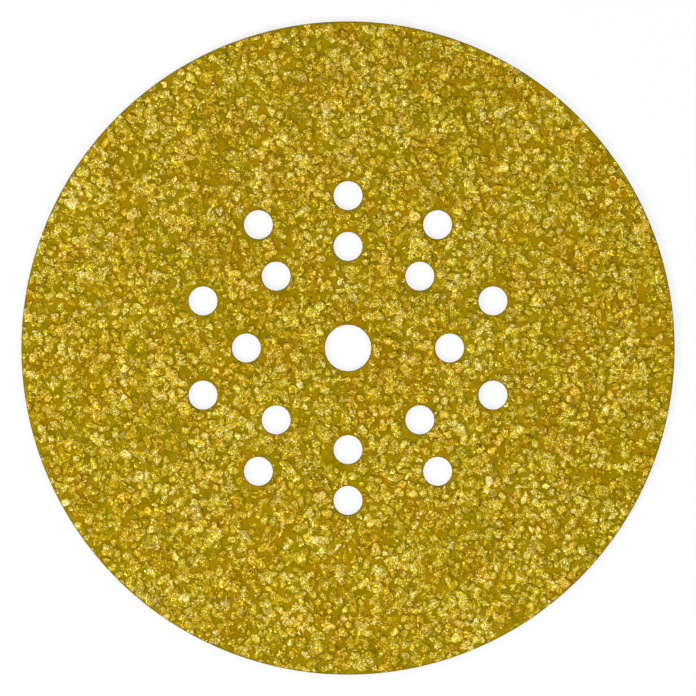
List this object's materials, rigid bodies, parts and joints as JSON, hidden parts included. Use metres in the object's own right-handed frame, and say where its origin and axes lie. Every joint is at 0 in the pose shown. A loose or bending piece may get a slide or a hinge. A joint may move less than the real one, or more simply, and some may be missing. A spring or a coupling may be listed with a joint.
{
  "type": "hook and loop sanding disc",
  "caption": "Round abrasive disc with a loop back and dust extraction holes, which grips the pad of a wall or floor sander.",
  "frame": {"origin": "centre of the disc, on the loop face that it lies on", "axes": "+Z through the disc, from the loops to the grit; the first hole of each ring lies towards +Y"},
  "size_m": [0.225, 0.225, 0.0034],
  "materials": {
    "loop_fabric": "brushed loop pile",
    "paper": "matte, glued through",
    "grit": "coarse grains in a glossy golden resin"
  },
  "bodies": {
    "root": {"loop_backing": "loop_fabric", "backing_paper": "paper", "grit_coat": "grit"}
  },
  "joints": []
}
